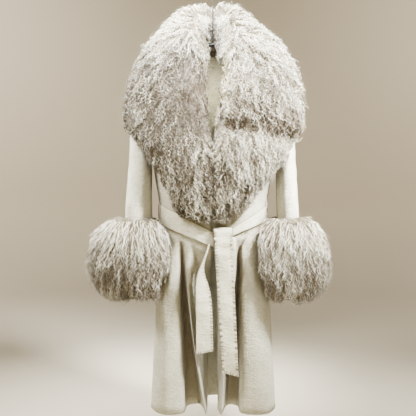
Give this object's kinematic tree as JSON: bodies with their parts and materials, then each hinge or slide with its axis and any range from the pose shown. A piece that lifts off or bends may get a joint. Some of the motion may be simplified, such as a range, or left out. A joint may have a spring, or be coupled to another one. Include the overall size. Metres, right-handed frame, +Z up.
{
  "type": "belted shearling coat on a hanger",
  "caption": "cream wool wrap coat with a wide shawl collar and full cuffs of long curly lamb shearling and a tied cloth belt, hanging from a wire hanger",
  "frame": {"origin": "the inside top of the hanger's hook, where it sits on a rail", "axes": "+Z is up, -Y is the coat's front, +X is the wearer's left"},
  "size_m": [0.765, 0.336, 1.3699],
  "materials": {
    "coat_cloth": "brushed double-faced wool",
    "belt_cloth": "brushed double-faced wool, hand-stitched edges",
    "lamb_pile": "long curly lamb shearling",
    "hanger_steel": "dark grey wire"
  },
  "bodies": {
    "root": {"back": "coat_cloth", "front_right": "coat_cloth", "front_left": "coat_cloth", "sleeve_right": "coat_cloth", "sleeve_left": "coat_cloth", "neck_binding": "coat_cloth", "belt_back": "belt_cloth", "belt_right": "belt_cloth", "belt_left": "belt_cloth", "belt_knot": "belt_cloth", "belt_tail_front": "belt_cloth", "belt_tail_under": "belt_cloth", "carrier_right": "belt_cloth", "carrier_left": "belt_cloth", "collar_right": "lamb_pile", "collar_left": "lamb_pile", "cuff_right": "lamb_pile", "cuff_left": "lamb_pile", "hanger_arms": "hanger_steel", "hanger_hook": "hanger_steel"}
  },
  "joints": []
}
